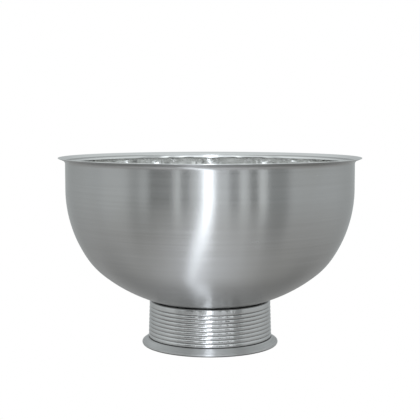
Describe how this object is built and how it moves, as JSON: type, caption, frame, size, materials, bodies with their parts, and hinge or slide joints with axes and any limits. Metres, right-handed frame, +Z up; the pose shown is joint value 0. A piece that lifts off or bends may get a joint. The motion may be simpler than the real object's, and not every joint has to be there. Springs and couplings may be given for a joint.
{
  "type": "champagne bowl",
  "caption": "Deep round steel bowl with a flared lip on a short ribbed ring foot with a flared base, for chilling bottles in ice.",
  "frame": {"origin": "on the table, on the bowl's axis, under the centre of the foot", "axes": "+Z up along the bowl's axis of revolution; +X to the viewer's right and -Y towards the viewer"},
  "size_m": [0.3799, 0.38, 0.237],
  "materials": {
    "satin_steel": "spun satin outside, polished lip and inside",
    "polished_steel": "polished",
    "plain_steel": "mill finish",
    "fastener_steel": "turned and rolled",
    "weld_metal": "as welded"
  },
  "bodies": {
    "root": {"bowl_shell": "satin_steel", "ribbed_collar": "polished_steel", "base_ring": "polished_steel", "bridge_plate": "plain_steel", "weld_stud": "fastener_steel", "flat_washer": "fastener_steel", "spring_washer": "fastener_steel", "hex_nut": "fastener_steel", "plate_tack_welds": "weld_metal", "ring_tack_welds": "weld_metal"}
  },
  "joints": []
}
